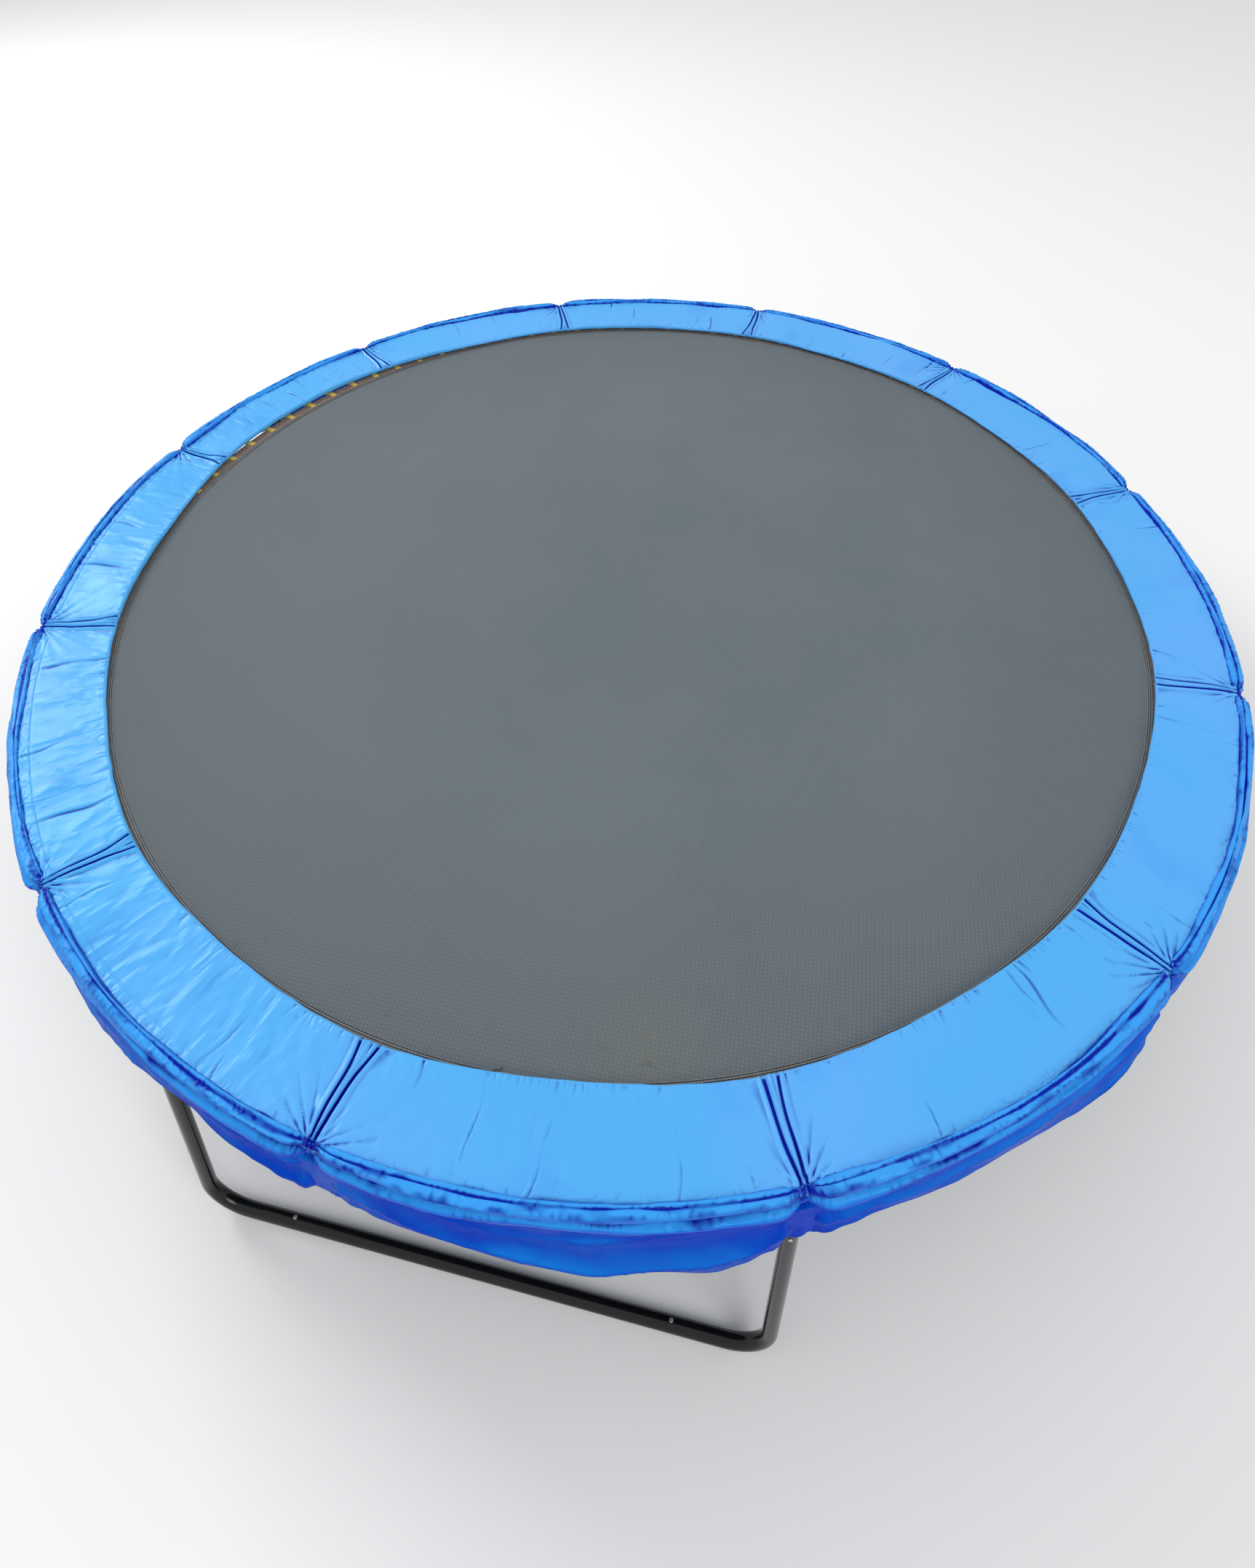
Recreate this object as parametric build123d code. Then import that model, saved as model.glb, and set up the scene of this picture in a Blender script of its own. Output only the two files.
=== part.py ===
from build123d import *
import os
from math import atan, cos, degrees, radians, sin

# Backyard trampoline: a ring of eight bent rails on four U-shaped legs, a woven jumping mat
# hung in it by extension springs, and a padded ring with a skirt that covers the springs.
# Millimetres. Origin on the ground at the centre of the ring, +Z up, one leg centred on each
# of +X, +Y, -X and -Y.

# ---------------------------------------------------------------- driving dimensions

# ring and its tube
RING_DIAMETER = 4266.0  # over the outside of the rails
RAIL_HEIGHT = 889.0  # ground to the top of the rails
TUBE = 42.0  # outside diameter of rails, uprights and base tubes
WALL = 1.5  # wall of all the tubes
RAILS = 8
SLIDE_CLEARANCE = 0.3  # radial, where one tube slides into another
RAIL_INSERT = 60.0  # length of a rail's swaged end
SHOULDER = 10.0  # length of the solid step where a tube is swaged

# legs
LEGS = 4
FOOT_OFFSET = 96.0  # how far the foot of a leg stands outside its top
LEG_BEND_RADIUS = 115.0  # centreline of the bend
FOOT_STUB = 42.0  # straight end of an upright past its bend
FOOT_INSERT = 150.0  # swaged end of an upright, inside the base tube
SOCKET_LENGTH = 220.0  # rail centre to the end of the socket stub
UPRIGHT_GAP = 9.0  # rail to the top end of an upright

# screws
SCREW_RADIUS = 2.9
SCREW_CLEARANCE = 0.2
SCREW_LENGTH = 14.0
SCREW_HEAD_RADIUS = 5.5
SCREW_HEAD_HEIGHT = 3.0
SOCKET_SCREW_DROP = 185.0  # rail centre to the socket screw
BASE_SCREW_INSET = 100.0  # end of the base tube to its screw

# springs
SPRINGS_PER_RAIL = 12
SPRING_SPAN = 140.0  # hook to hook, as installed
COIL_RADIUS = 10.0  # outside
COIL_INSET = 27.0  # outer hook to the coil
HOOK_REACH = 13.0  # V-ring to the coil
COIL_TAPER = 9.0
SPRING_WIRE = 1.6  # radius
HOOK_HOLE_RADIUS = 5.0
HOOK_DROP = 14.0  # how far the outer hook reaches into the rail
HOOK_BEND = 6.0
HOOK_TAIL = 7.0  # straight end of the inner hook
HOOK_CLEARANCE = 0.8  # around the V-ring's wire
WIRE_REST = 0.4  # spring wire above the top of the rail

# V-rings, loops, hem and mat
VRING_WIRE = 1.6  # radius
VRING_DEPTH = 27.0
VRING_WIDTH = 50.0
VRING_CORNER = 5.0
LOOP_WIDTH = 25.0
LOOP_THICKNESS = 1.2
LOOP_LENGTH = 50.0
LOOP_CLEARANCE = 0.2
HEM_GAP = 10.0  # V-ring's bar to the hem
HEM_WIDTH = 67.0
MAT_GAP = 2.0  # between the hem and the moving bed
MAT_THICKNESS = 1.6

# pad
PAD_PANELS = 12
PAD_REACH = 69.0  # inwards from the V-rings' tips
PAD_OVERHANG = 20.0  # past the outside of the rails
PAD_THICKNESS = 22.0
PAD_SLOPE = 0.07  # rise per unit of radius
PAD_REST = 0.6  # pad above the coils at their inner end
COVER = 0.8  # thickness of the cover sheets
SEAM_GAP = 14.0  # between two foam inserts
ROLL_RADIUS = 8.0  # of the rolled outer edge
SKIRT_THICKNESS = 1.2
SKIRT_DROP = 220.0
SKIRT_SEAM = 2.0  # between two skirt panels
TIE_WIDTH = 20.0
TIE_THICKNESS = 1.5
TIE_CLEARANCE = 0.5

# ---------------------------------------------------------------- worked out

TUBE_RADIUS = TUBE / 2
BORE = TUBE_RADIUS - WALL
INSERT_RADIUS = BORE - SLIDE_CLEARANCE
INSERT_BORE = INSERT_RADIUS - WALL
RING_RADIUS = RING_DIAMETER / 2 - TUBE_RADIUS
RAIL_CENTRE = RAIL_HEIGHT - TUBE_RADIUS
RAIL_ANGLE = 360 / RAILS
POST_ANGLE = RAIL_ANGLE / 2  # each post stands under the middle of its rail
SPRING_PITCH = RAIL_ANGLE / SPRINGS_PER_RAIL
SPRINGS = RAILS * SPRINGS_PER_RAIL

LEG_TOP = RING_RADIUS * cos(radians(POST_ANGLE))  # centre of the ring to the leg's chord
LEG_HALF = RING_RADIUS * sin(radians(POST_ANGLE))
LEG_DROP = RAIL_CENTRE - TUBE_RADIUS
LEG_LEAN = degrees(atan(FOOT_OFFSET / LEG_DROP))
LEG_LENGTH = (LEG_DROP**2 + FOOT_OFFSET**2) ** 0.5
BASE_HALF = LEG_HALF - LEG_BEND_RADIUS - FOOT_STUB

SPRING_Z = RAIL_HEIGHT + SPRING_WIRE + WIRE_REST
VRING_TIP = RING_RADIUS - SPRING_SPAN
HOOK_RADIUS = SPRING_WIRE + VRING_WIRE + HOOK_CLEARANCE
MAT_Z = SPRING_Z - HOOK_RADIUS
VRING_BAR = VRING_TIP - VRING_DEPTH
LOOP_INNER = VRING_WIRE + LOOP_CLEARANCE
LOOP_OUTER = LOOP_INNER + LOOP_THICKNESS
HEM_OUTER = VRING_BAR - HEM_GAP
HEM_INNER = HEM_OUTER - HEM_WIDTH
MAT_RADIUS = HEM_INNER - MAT_GAP
COIL_START = VRING_TIP + HOOK_REACH
COIL_END = RING_RADIUS - COIL_INSET

PAD_INNER_RADIUS = VRING_TIP - PAD_REACH
PAD_OUTER_RADIUS = RING_DIAMETER / 2 + PAD_OVERHANG
PAD_BASE = SPRING_Z + COIL_RADIUS + PAD_REST - PAD_SLOPE * (COIL_START - PAD_INNER_RADIUS)
PAD_ANGLE = 360 / PAD_PANELS
SEAM_ANGLE = POST_ANGLE  # the first seam stands over a post

os.makedirs("parts", exist_ok=True)


# ---------------------------------------------------------------- helpers


def save(name, solids):
    """Write one sub-part: a solid, or a group of identical solids."""
    shape = solids[0] if len(solids) == 1 else Compound(children=solids)
    shape.label = name
    export_step(shape, "parts/" + name + ".step")


def solid_of(shape):
    """The single solid that a boolean or a sweep made."""
    solids = shape.solids()
    assert len(solids) == 1, len(solids)
    return solids[0]


def turned(shape, angle):
    """A copy of a shape turned about the ring's axis."""
    return Rot(0, 0, angle) * shape


def radial_plane():
    """The plane y = 0, with x outwards from the ring's axis and y up."""
    return Plane(origin=(0, 0, 0), x_dir=(1, 0, 0), z_dir=(0, -1, 0))


def swept_ring(points, start, sweep_angle):
    """A polygon of (radius, height) points turned about the ring's axis."""
    face = radial_plane() * make_face(Polyline(*points, close=True))
    return turned(revolve(face, Axis.Z, sweep_angle), start)


def arc_rod(radius, start, end):
    """A round bar along the rails' circle, between two angles in degrees."""
    face = radial_plane() * Pos(RING_RADIUS, RAIL_CENTRE) * Circle(radius)
    return turned(revolve(face, Axis.Z, end - start), start)


def rod(start, end, radius):
    """A straight round bar between two points."""
    start, end = Vector(start), Vector(end)
    plane = Plane(origin=start, z_dir=end - start)
    return extrude(plane * Circle(radius), (end - start).length)


def swept_rod(path, radius):
    """A round bar along a path."""
    return sweep(Plane(origin=path @ 0, z_dir=path % 0) * Circle(radius), path=path)


def rail_arc(length):
    """The angle that a length along the rails' centreline takes."""
    return degrees(length / RING_RADIUS)


# ---------------------------------------------------------------- ring


def top_rail():
    """One rail centred on +X: a bent tube, swaged at its far end, with a hook hole per spring."""
    near = -RAIL_ANGLE / 2
    far = RAIL_ANGLE / 2
    step = far - rail_arc(SHOULDER)
    tip = far + rail_arc(RAIL_INSERT)
    body = arc_rod(TUBE_RADIUS, near, far) + arc_rod(INSERT_RADIUS, far, tip)
    body -= arc_rod(BORE, near, step)
    body -= arc_rod(INSERT_BORE, step, tip)
    # one hole more, for the next rail's first hook where the swaged end reaches under it
    for i in range(SPRINGS_PER_RAIL + 1):
        angle = near + SPRING_PITCH * (i + 0.5)
        hole = rod((RING_RADIUS, 0, RAIL_CENTRE), (RING_RADIUS, 0, RAIL_HEIGHT + 1), HOOK_HOLE_RADIUS)
        body -= turned(hole, angle)
    return solid_of(body)


# ---------------------------------------------------------------- legs


def leg_plane():
    """The plane of the +X leg: x along the ground, y up along its posts, z outwards."""
    lean = radians(LEG_LEAN)
    outward = (cos(lean), 0, sin(lean))
    return Plane(origin=(LEG_TOP, 0, RAIL_CENTRE), x_dir=(0, 1, 0), z_dir=outward)


def in_leg(x, y, z=0.0):
    """A point of the leg's plane, y measured down from the rail's centre."""
    return leg_plane().from_local_coords(Vector(x, -y, z))


def leg_path(side, top, foot):
    """Centreline of an upright from y = top to x = foot, on side +1 or -1."""
    corner = in_leg(side * LEG_HALF, LEG_LENGTH)
    start = in_leg(side * LEG_HALF, top)
    end = in_leg(side * foot, LEG_LENGTH)
    return FilletPolyline(start, corner, end, radius=LEG_BEND_RADIUS)


def socket_screw_axis(side):
    """Centre of a post at its socket screw, and a point outwards from it."""
    x = side * LEG_HALF
    return in_leg(x, SOCKET_SCREW_DROP), in_leg(x, SOCKET_SCREW_DROP, TUBE)


def base_screw_axis(side):
    """Centre of the base tube at its screw, and a point upwards from it."""
    x = side * (BASE_HALF - BASE_SCREW_INSET)
    return in_leg(x, LEG_LENGTH), in_leg(x, LEG_LENGTH - TUBE)


def leg_socket(side):
    """The stub welded under a rail, coped to the rail."""
    top = in_leg(side * LEG_HALF, 0)
    end = in_leg(side * LEG_HALF, SOCKET_LENGTH)
    body = rod(top, end, INSERT_RADIUS) - rod(top, end, INSERT_BORE)
    angle = side * POST_ANGLE
    body -= arc_rod(TUBE_RADIUS, angle - RAIL_ANGLE / 4, angle + RAIL_ANGLE / 4)
    body -= rod(*socket_screw_axis(side), SCREW_RADIUS + SCREW_CLEARANCE)
    lower = [s for s in body.solids() if s.center().Z < RAIL_CENTRE - TUBE_RADIUS]
    return max(lower, key=lambda s: s.volume)


def leg_upright(side):
    """One side of a U leg: post, bend and foot, swaged where it enters the base tube."""
    top = TUBE_RADIUS + UPRIGHT_GAP
    step = BASE_HALF + SHOULDER
    foot_end = in_leg(side * (BASE_HALF - FOOT_INSERT), LEG_LENGTH)
    at_base = in_leg(side * BASE_HALF, LEG_LENGTH)
    at_step = in_leg(side * step, LEG_LENGTH)
    body = swept_rod(leg_path(side, top, BASE_HALF), TUBE_RADIUS) + rod(at_base, foot_end, INSERT_RADIUS)
    body -= swept_rod(leg_path(side, top, step), BORE)
    body -= rod(at_step, foot_end, INSERT_BORE)
    body -= rod(*socket_screw_axis(side), SCREW_RADIUS + SCREW_CLEARANCE)
    body -= rod(*base_screw_axis(side), SCREW_RADIUS + SCREW_CLEARANCE)
    return solid_of(body)


def base_tube():
    """The straight tube on the ground between two uprights."""
    ends = in_leg(-BASE_HALF, LEG_LENGTH), in_leg(BASE_HALF, LEG_LENGTH)
    body = rod(*ends, TUBE_RADIUS) - rod(*ends, BORE)
    for side in (-1, 1):
        body -= rod(*base_screw_axis(side), SCREW_RADIUS + SCREW_CLEARANCE)
    return solid_of(body)


def screw(axis):
    """A round-headed screw that goes in along an axis, its head on the tube's outside."""
    centre, outside = axis
    outward = (outside - centre).normalized()
    seat = centre + outward * TUBE_RADIUS
    plane = Plane(origin=seat, z_dir=outward)
    shank = extrude(plane * Circle(SCREW_RADIUS), -SCREW_LENGTH)
    head = extrude(plane * Circle(SCREW_HEAD_RADIUS), SCREW_HEAD_HEIGHT)
    rim = head.edges().sort_by(Axis(seat, outward))[-1]
    return solid_of(fillet(rim, SCREW_HEAD_HEIGHT * 0.6) + shank)


# ---------------------------------------------------------------- springs and mat


def spring():
    """One extension spring on +X: coil, tapered ends, outer hook in the rail, inner hook on a V-ring."""
    coil = rod((COIL_START, 0, SPRING_Z), (COIL_END, 0, SPRING_Z), COIL_RADIUS)
    bore = COIL_RADIUS - 2 * SPRING_WIRE
    coil -= rod((COIL_START, 0, SPRING_Z), (COIL_END, 0, SPRING_Z), bore)
    taper = [(COIL_START, 0), (COIL_START, COIL_RADIUS), (COIL_START - COIL_TAPER, SPRING_WIRE)]
    taper.append((COIL_START - COIL_TAPER, 0))
    cone = revolve(Plane.XZ * make_face(Polyline(*taper, close=True)), Axis.X)
    middle = (COIL_START + COIL_END) / 2
    inner_cone = Pos(0, 0, SPRING_Z) * cone
    outer_cone = Pos(0, 0, SPRING_Z) * mirror(cone, Plane(origin=(middle, 0, 0), z_dir=(1, 0, 0)))
    over = (COIL_END, 0, SPRING_Z)
    bend = (RING_RADIUS, 0, SPRING_Z)
    down = (RING_RADIUS, 0, SPRING_Z - HOOK_DROP)
    outer_hook = swept_rod(FilletPolyline(over, bend, down, radius=HOOK_BEND), SPRING_WIRE)
    shank = Line((COIL_START, 0, SPRING_Z), (VRING_TIP, 0, SPRING_Z))
    around = (VRING_TIP - HOOK_RADIUS, 0, SPRING_Z - HOOK_RADIUS)
    under = (VRING_TIP, 0, SPRING_Z - 2 * HOOK_RADIUS)
    turn = ThreePointArc(shank @ 1, around, under)
    tail = Line(under, (VRING_TIP + HOOK_TAIL, 0, SPRING_Z - 2 * HOOK_RADIUS))
    inner_hook = swept_rod(Wire([shank, turn, tail]), SPRING_WIRE)
    return solid_of(coil + inner_cone + outer_cone + outer_hook + inner_hook)


def v_ring():
    """One triangular wire ring on +X, its bar inwards."""
    half = VRING_WIDTH / 2
    # the sharp apex stands further out, so that its round corner ends at the tip
    inset = VRING_DEPTH - VRING_CORNER
    reach = half * inset + VRING_CORNER * (half**2 + inset**2 - VRING_CORNER**2) ** 0.5
    apex = VRING_BAR + half * reach / (half**2 - VRING_CORNER**2)
    corners = [(apex, 0, MAT_Z), (VRING_BAR, half, MAT_Z), (VRING_BAR, -half, MAT_Z)]
    path = FilletPolyline(*corners, radius=VRING_CORNER, close=True)
    return solid_of(swept_rod(path, VRING_WIRE))


def webbing_loop():
    """One strip of webbing on +X, folded around a V-ring's bar and over both faces of the hem."""
    end = VRING_BAR - LOOP_LENGTH
    face = radial_plane() * (
        Pos(VRING_BAR, MAT_Z) * Circle(LOOP_OUTER)
        + Pos((end + VRING_BAR) / 2, MAT_Z) * Rectangle(LOOP_LENGTH, 2 * LOOP_OUTER)
        - Pos(VRING_BAR, MAT_Z) * Circle(LOOP_INNER)
        - Pos((end + VRING_BAR) / 2, MAT_Z) * Rectangle(LOOP_LENGTH, 2 * LOOP_INNER)
    )
    return solid_of(Pos(0, LOOP_WIDTH / 2, 0) * extrude(face, LOOP_WIDTH))


def mat_hem():
    """The folded and sewn edge of the mat."""
    low, high = MAT_Z - LOOP_INNER, MAT_Z + LOOP_INNER
    points = [(HEM_INNER, low), (HEM_OUTER, low), (HEM_OUTER, high), (HEM_INNER, high)]
    return solid_of(swept_ring(points, 0, 360))


def jump_mat():
    """The bed of the mat, inside its hem."""
    disc = extrude(Plane(origin=(0, 0, MAT_Z - MAT_THICKNESS / 2)) * Circle(MAT_RADIUS), MAT_THICKNESS)
    return solid_of(disc)


# ---------------------------------------------------------------- pad


def pad_height(radius):
    """Height of the pad's underside at a radius."""
    return PAD_BASE + PAD_SLOPE * (radius - PAD_INNER_RADIUS)


def pad_band(inner, outer, low, high):
    """Four (radius, height) points of a band that follows the pad's slope."""
    return [
        (inner, pad_height(inner) + low),
        (outer, pad_height(outer) + low),
        (outer, pad_height(outer) + high),
        (inner, pad_height(inner) + high),
    ]


def pad_foam():
    """One foam insert, starting just past the seam on +X."""
    gap = degrees(SEAM_GAP / PAD_OUTER_RADIUS)
    inner, outer = PAD_INNER_RADIUS + COVER, PAD_OUTER_RADIUS - COVER
    points = pad_band(inner, outer, COVER, PAD_THICKNESS - COVER)
    return solid_of(swept_ring(points, gap / 2, PAD_ANGLE - gap))


def pad_cover_base():
    """The bottom sheet of the cover."""
    points = pad_band(PAD_INNER_RADIUS, PAD_OUTER_RADIUS, 0, COVER)
    return solid_of(swept_ring(points, 0, 360))


def pad_cover_top():
    """The top sheet of the cover, with its two turned-down edges."""
    inner, outer = PAD_INNER_RADIUS, PAD_OUTER_RADIUS
    outside = pad_band(inner, outer, COVER, PAD_THICKNESS)
    inside = pad_band(inner + COVER, outer - COVER, COVER, PAD_THICKNESS - COVER)
    points = [outside[0], outside[3], outside[2], outside[1], inside[1], inside[2], inside[3], inside[0]]
    return solid_of(swept_ring(points, 0, 360))


def pad_edge_roll():
    """The rolled edge that stands on the pad's outer rim."""
    radius = PAD_OUTER_RADIUS - ROLL_RADIUS
    height = pad_height(radius) + PAD_THICKNESS + ROLL_RADIUS
    lift = ROLL_RADIUS * ((1 + PAD_SLOPE**2) ** 0.5 - 1)
    face = radial_plane() * Pos(radius, height + lift) * Circle(ROLL_RADIUS)
    return solid_of(revolve(face, Axis.Z, 360))


def skirt_panel():
    """One panel of the skirt, starting just past the seam on +X."""
    gap = degrees(SKIRT_SEAM / PAD_OUTER_RADIUS)
    inner = PAD_OUTER_RADIUS
    outer = inner + SKIRT_THICKNESS
    high = pad_height(inner) + PAD_THICKNESS
    points = [(inner, high - SKIRT_DROP), (outer, high - SKIRT_DROP), (outer, high), (inner, high)]
    return solid_of(swept_ring(points, gap / 2, PAD_ANGLE - gap))


def pad_tie():
    """One elastic band on +X, down from the pad, around a rail and back up."""
    inner = TUBE_RADIUS + TIE_CLEARANCE
    outer = inner + TIE_THICKNESS

    def hanger(reach):
        left, right = RING_RADIUS - reach, RING_RADIUS + reach
        top = [(right, pad_height(right)), (left, pad_height(left))]
        sides = make_face(Polyline((left, RAIL_CENTRE), (right, RAIL_CENTRE), *top, close=True))
        return sides + Pos(RING_RADIUS, RAIL_CENTRE) * Circle(reach)

    band = radial_plane() * (hanger(outer) - hanger(inner))
    return solid_of(Pos(0, TIE_WIDTH / 2, 0) * extrude(band, TIE_WIDTH))


# ---------------------------------------------------------------- the whole trampoline

rail = top_rail()
for i in range(RAILS):
    save(f"top_rail_{i + 1}", [turned(rail, POST_ANGLE + RAIL_ANGLE * i)])

base = base_tube()
leg_sides = [(-1, leg_socket(-1), leg_upright(-1)), (1, leg_socket(1), leg_upright(1))]
for leg in range(LEGS):
    leg_angle = 360 / LEGS * leg
    save(f"base_tube_{leg + 1}", [turned(base, leg_angle)])
    for offset, (side, socket, upright) in enumerate(leg_sides):
        number = 2 * leg + offset + 1
        save(f"leg_socket_{number}", [turned(socket, leg_angle)])
        save(f"leg_upright_{number}", [turned(upright, leg_angle)])

leg_angles = [360 / LEGS * leg for leg in range(LEGS)]
for name, place in (("socket_screws", socket_screw_axis), ("base_screws", base_screw_axis)):
    pair = [screw(place(side)) for side in (-1, 1)]
    save(name, [turned(one, angle) for angle in leg_angles for one in pair])

one_spring = spring()
spring_angles = [SPRING_PITCH * (i + 0.5) for i in range(SPRINGS)]
for i in range(RAILS):
    group = spring_angles[i * SPRINGS_PER_RAIL : (i + 1) * SPRINGS_PER_RAIL]
    save(f"springs_{i + 1}", [turned(one_spring, angle) for angle in group])

save("v_rings", [turned(v_ring(), angle) for angle in spring_angles])
save("webbing_loops", [turned(webbing_loop(), angle) for angle in spring_angles])
save("mat_hem", [mat_hem()])
save("jump_mat", [jump_mat()])

foam = pad_foam()
seam_angles = [SEAM_ANGLE + PAD_ANGLE * i for i in range(PAD_PANELS)]
for i, angle in enumerate(seam_angles):
    save(f"pad_foam_{i + 1:02d}", [turned(foam, angle)])
save("pad_cover_base", [pad_cover_base()])
save("pad_cover_top", [pad_cover_top()])
save("pad_edge_roll", [pad_edge_roll()])
save("pad_skirt", [turned(skirt_panel(), angle) for angle in seam_angles])
save("pad_ties", [turned(pad_tie(), angle + SPRING_PITCH) for angle in seam_angles])
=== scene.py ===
from math import cos, pi, radians, sin, tau

import bpy
import numpy as np
from mathutils import Matrix, Vector


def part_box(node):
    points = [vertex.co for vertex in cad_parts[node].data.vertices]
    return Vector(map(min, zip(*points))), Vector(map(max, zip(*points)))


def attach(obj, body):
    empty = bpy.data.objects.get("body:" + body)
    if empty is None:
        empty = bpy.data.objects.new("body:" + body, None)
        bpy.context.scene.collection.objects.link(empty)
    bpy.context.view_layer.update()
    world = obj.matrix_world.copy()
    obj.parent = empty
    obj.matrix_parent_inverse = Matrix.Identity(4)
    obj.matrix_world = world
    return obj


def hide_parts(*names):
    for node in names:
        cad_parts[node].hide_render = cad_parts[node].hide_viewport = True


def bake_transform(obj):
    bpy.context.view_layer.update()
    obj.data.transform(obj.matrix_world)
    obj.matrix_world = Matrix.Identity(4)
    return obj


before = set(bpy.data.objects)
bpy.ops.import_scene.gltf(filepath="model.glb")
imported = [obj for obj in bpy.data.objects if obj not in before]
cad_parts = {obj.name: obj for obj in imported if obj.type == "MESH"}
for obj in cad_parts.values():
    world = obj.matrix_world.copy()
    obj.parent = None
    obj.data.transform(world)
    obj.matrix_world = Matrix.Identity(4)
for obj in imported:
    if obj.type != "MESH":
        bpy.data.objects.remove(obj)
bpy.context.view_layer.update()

# ---------------------------------------------------------------- the frame's sizes, metres


def cad_points(node):
    """The corners of a CAD node's mesh."""
    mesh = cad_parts[node].data
    flat = np.zeros(len(mesh.vertices) * 3)
    mesh.vertices.foreach_get("co", flat)
    return flat.reshape(-1, 3)


def cad_radii(node):
    """Nearest and furthest that a CAD node comes to the ring's axis."""
    points = cad_points(node)
    radius = np.hypot(points[:, 0], points[:, 1])
    return float(radius.min()), float(radius.max())


PAD_IN, PAD_OUT = cad_radii("pad_foam_01")
PAD_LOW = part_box("pad_cover_base")[0].z
PAD_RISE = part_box("pad_cover_base")[1].z - PAD_LOW  # of the underside, from its inner to its outer edge
PAD_TOP_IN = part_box("pad_cover_top")[1].z - PAD_RISE
SKIRT_R = cad_radii("pad_skirt")[0]
HEM_IN, HEM_OUT = cad_radii("mat_hem")
HEM_LOW, HEM_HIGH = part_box("mat_hem")[0].z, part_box("mat_hem")[1].z
MAT_LOW, MAT_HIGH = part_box("jump_mat")[0].z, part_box("jump_mat")[1].z
WIRE = (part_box("v_rings")[1].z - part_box("v_rings")[0].z) / 2
RING_R = cad_radii("springs_1")[1] - WIRE
TIP_R = cad_radii("v_rings")[1] - WIRE
BAR_R = cad_radii("v_rings")[0] + WIRE
MAT_Z = (MAT_LOW + MAT_HIGH) / 2
RAIL_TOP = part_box("top_rail_1")[1].z
TUBE_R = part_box("base_tube_1")[1].z / 2
RAIL_Z = RAIL_TOP - TUBE_R
LOOP_HALF = (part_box("webbing_loops")[1].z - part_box("webbing_loops")[0].z) / 2

SPRINGS = 96
PANELS = 12
SEAM = 22.5  # degrees from +X to the first seam
PANEL = 360 / PANELS
PITCH = 360 / SPRINGS
POST, POST_STEP = 22.5, 45.0  # degrees, to the first leg post and between two posts
POST_LEAN = 0.105  # how far a post leans outwards for each metre down
POST_SPARE = 0.007  # room for the cloth and a screw head over a post
SKIRT_FREE = 0.055  # below the pad's top corner, where the skirt hangs clear of the pad

# ---------------------------------------------------------------- mesh helpers


def smooth(x):
    """0 below 0, 1 above 1, and an even curve between."""
    x = np.clip(x, 0, 1)
    return x * x * (3 - 2 * x)


def ripple(turns, across, cells, seed):
    """Smooth noise from -1 to 1; cells is how many features fit once round the ring."""
    lattice = np.random.default_rng(seed).uniform(-1, 1, (cells, 64))
    u, v = turns * cells, across
    iu, iv = np.floor(u).astype(int), np.floor(v).astype(int)
    fu, fv = smooth(u - iu), smooth(v - iv)
    a = lattice[iu % cells, iv % 64] * (1 - fu) + lattice[(iu + 1) % cells, iv % 64] * fu
    b = lattice[iu % cells, (iv + 1) % 64] * (1 - fu) + lattice[(iu + 1) % cells, (iv + 1) % 64] * fu
    return a * (1 - fv) + b * fv


def grid_faces(rows, columns, wrap_columns=False):
    """Corner indices of a grid's faces."""
    r = np.arange(rows - 1)
    c = np.arange(columns if wrap_columns else columns - 1)
    r, c = np.meshgrid(r, c, indexing="ij")
    c2 = (c + 1) % columns
    corners = [r * columns + c, r * columns + c2, (r + 1) * columns + c2, (r + 1) * columns + c]
    return np.stack(corners, -1).reshape(-1, 4).tolist()


def make_piece(name, points, faces, material, flat_faces=0):
    """A smooth-shaded mesh object, its last faces flat, from points and faces."""
    mesh = bpy.data.meshes.new(name)
    mesh.from_pydata(np.asarray(points).reshape(-1, 3).tolist(), [], faces)
    smooth_faces = len(mesh.polygons) - flat_faces
    mesh.polygons.foreach_set("use_smooth", [True] * smooth_faces + [False] * flat_faces)
    mesh.materials.append(material)
    mesh.update()
    piece = bpy.data.objects.new(name, mesh)
    bpy.context.scene.collection.objects.link(piece)
    return piece


def ridge(x):
    """A sharp crest of height 1 at every whole number, with rounded hollows between."""
    return 1 - np.abs(np.sin(pi * x)) ** 0.7


def hollows(height, reach=9, deep=0.004):
    """How far each point of a grid lies below the mean height of its neighbours across its rows, from 0 to
    1; the vinyl's painted fold shade is drawn from it.
    """
    padded = np.pad(height, ((reach, reach), (0, 0)), mode="edge")
    total = np.cumsum(np.pad(padded, ((1, 0), (0, 0))), 0)
    mean = (total[2 * reach + 1:] - total[:-2 * reach - 1]) / (2 * reach + 1)
    return np.clip((mean - height) / deep, 0, 1)


def thicken(piece, thickness, offset=0.0):
    """Gives an open sheet its two faces and its edges."""
    solid = piece.modifiers.new("thickness", "SOLIDIFY")
    solid.thickness = thickness
    solid.offset = offset
    return piece


def store(piece, name, values):
    """Keeps one number per point of a piece, for its material."""
    layer = piece.data.attributes.new(name, "FLOAT", "POINT")
    layer.data.foreach_set("value", np.asarray(values, float).ravel())


def around(radius, angle, height):
    """Points at a radius, an angle in degrees and a height."""
    turn = np.radians(angle)
    return np.stack(np.broadcast_arrays(radius * np.cos(turn), radius * np.sin(turn), height), -1)


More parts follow.
